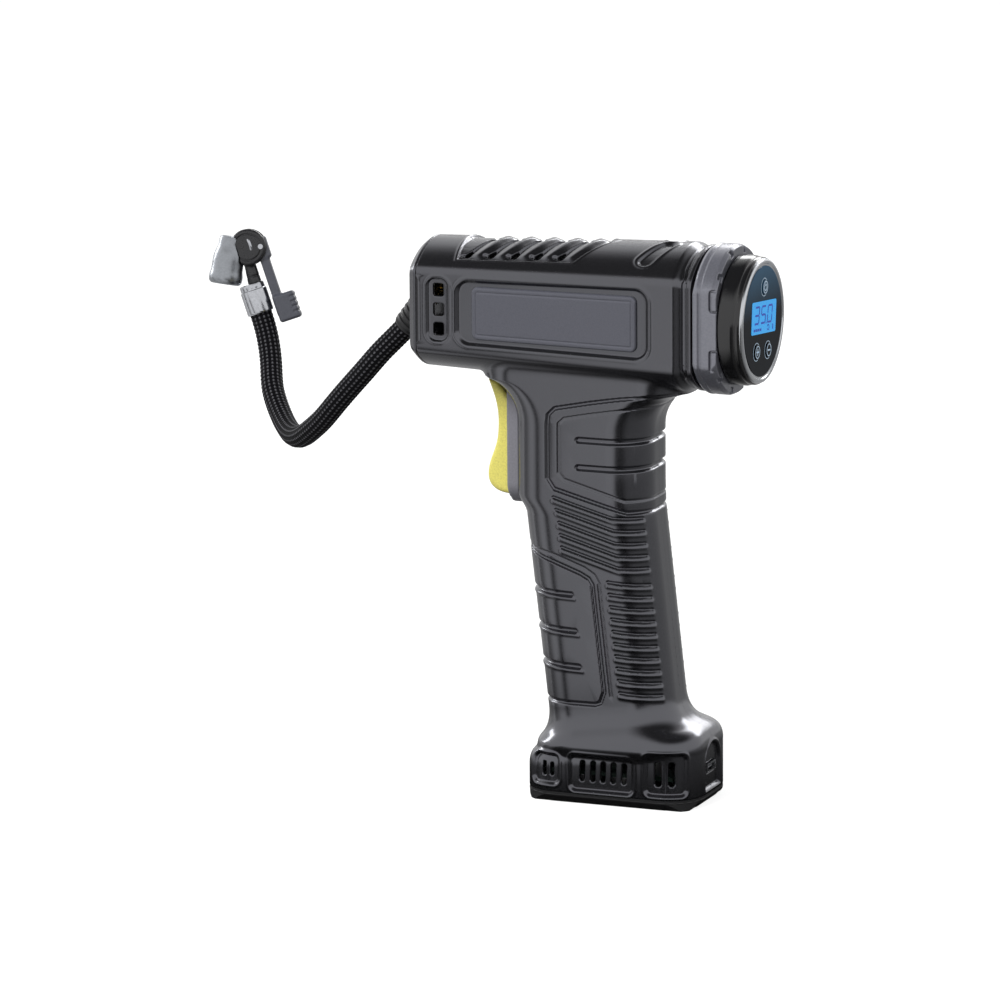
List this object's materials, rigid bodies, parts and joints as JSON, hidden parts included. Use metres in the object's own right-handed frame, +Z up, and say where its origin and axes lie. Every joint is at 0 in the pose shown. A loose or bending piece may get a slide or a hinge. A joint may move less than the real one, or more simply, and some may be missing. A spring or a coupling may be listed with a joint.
{
  "type": "portable tire inflator",
  "caption": "Pistol-grip cordless tyre inflator with a barrel body, rear pressure display, sprung trigger, battery grip, flat foot and a braided hose with a lever chuck.",
  "frame": {"origin": "on the plane that the foot stands on, below the middle of the barrel's length", "axes": "+X along the barrel towards the display, +Z up, -Y towards the side that the picture shows"},
  "size_m": [0.2534, 0.0989, 0.215],
  "materials": {
    "housing": "fine satin",
    "foot": "fine satin",
    "trim": "satin",
    "display_black": "gloss",
    "bright_ring": "polished",
    "display_glass": "gloss, dark tint",
    "lcd": "lit liquid crystal",
    "circuit": "lacquered circuit board",
    "trigger_yellow": "satin",
    "steel": "bright",
    "black_screw": "black oxide",
    "casting": "as cast",
    "cell": "shrink-wrapped cell",
    "gear_plastic": "moulded acetal",
    "brass": "machined",
    "seal_rubber": "moulded",
    "line_silicone": "translucent silicone",
    "braid": "textile braid over rubber",
    "collar_rubber": "moulded",
    "chuck_black": "satin",
    "bell_alloy": "satin"
  },
  "bodies": {
    "housing": {"left_shell": "housing", "right_shell": "housing", "front_cap": "housing", "rear_collar": "housing", "display_housing": "display_black", "bezel_ring": "bright_ring", "display_lens": "display_glass", "lcd_module": "lcd", "display_board": "circuit", "side_panel_left": "trim", "side_panel_right": "trim", "trigger_bezel": "trim", "trigger_spring": "steel", "trigger_switch": "foot", "motor_can": "steel", "motor_end_cap": "foot", "pump_frame": "casting", "cylinder_sleeve": "brass", "cylinder_head": "casting", "head_screws": "steel", "air_line": "line_silicone", "hose_fitting": "brass", "front_cell": "cell", "rear_cell": "cell", "battery_holder": "foot", "main_board": "circuit", "usb_socket": "steel", "base_cover": "foot", "base_screws": "black_screw", "shell_screws": "black_screw", "hose_collar": "collar_rubber", "hose": "braid", "hose_ferrule": "bright_ring", "chuck_head": "chuck_black", "chuck_bell": "bell_alloy", "chuck_seal": "seal_rubber", "chuck_ring": "bright_ring", "lever_pin": "steel"},
    "trigger": {"trigger": "trigger_yellow"},
    "power_key": {"power_button": "display_black"},
    "plus_key": {"plus_button": "display_black"},
    "minus_key": {"minus_button": "display_black"},
    "motor_rotor": {"motor_shaft": "steel", "cooling_fan": "foot"},
    "crank": {"crank_gear": "gear_plastic"},
    "piston_body": {"piston": "casting", "piston_seal": "seal_rubber", "wrist_pin": "steel"},
    "rod": {"connecting_rod": "casting"},
    "lever": {"chuck_lever": "chuck_black"}
  },
  "joints": [
    {"name": "trigger_pull", "type": "slide", "parent": "housing", "child": "trigger", "axis": [1, 0, 0], "range_m": [0, 0.004], "stiffness_N_per_m": 350, "springref_m": -0.003, "deforming": ["trigger_spring"]},
    {"name": "power_press", "type": "slide", "parent": "housing", "child": "power_key", "axis": [-1, 0, 0], "range_m": [0, 0.0006], "stiffness_N_per_m": 600, "springref_m": -0.0004},
    {"name": "plus_press", "type": "slide", "parent": "housing", "child": "plus_key", "axis": [-1, 0, 0], "range_m": [0, 0.0006], "stiffness_N_per_m": 600, "springref_m": -0.0004},
    {"name": "minus_press", "type": "slide", "parent": "housing", "child": "minus_key", "axis": [-1, 0, 0], "range_m": [0, 0.0006], "stiffness_N_per_m": 600, "springref_m": -0.0004},
    {"name": "motor_spin", "type": "hinge", "parent": "housing", "child": "motor_rotor", "pos_m": [0, 0.0061, 0.1865], "axis": [1, 0, 0], "continuous": true},
    {"name": "crank_spin", "type": "hinge", "parent": "housing", "child": "crank", "pos_m": [0, 0, 0.1728], "axis": [1, 0, 0], "continuous": true},
    {"name": "piston_stroke", "type": "slide", "parent": "housing", "child": "piston_body", "axis": [0, 0, -1], "range_m": [0, 0.0068]},
    {"name": "rod_swing", "type": "hinge", "parent": "piston_body", "child": "rod", "pos_m": [-0.0148, 0, 0.1984], "axis": [1, 0, 0], "range_deg": [-8.8, 8.8]},
    {"name": "lever_flip", "type": "hinge", "parent": "housing", "child": "lever", "pos_m": [-0.16671, 0.0688, 0.18904], "axis": [0.3238, -0.9325, 0.1603], "range_deg": [0, 90]}
  ],
  "couplings": [
    {"joint": "motor_spin", "follows": "crank_spin", "ratio": -4}
  ]
}
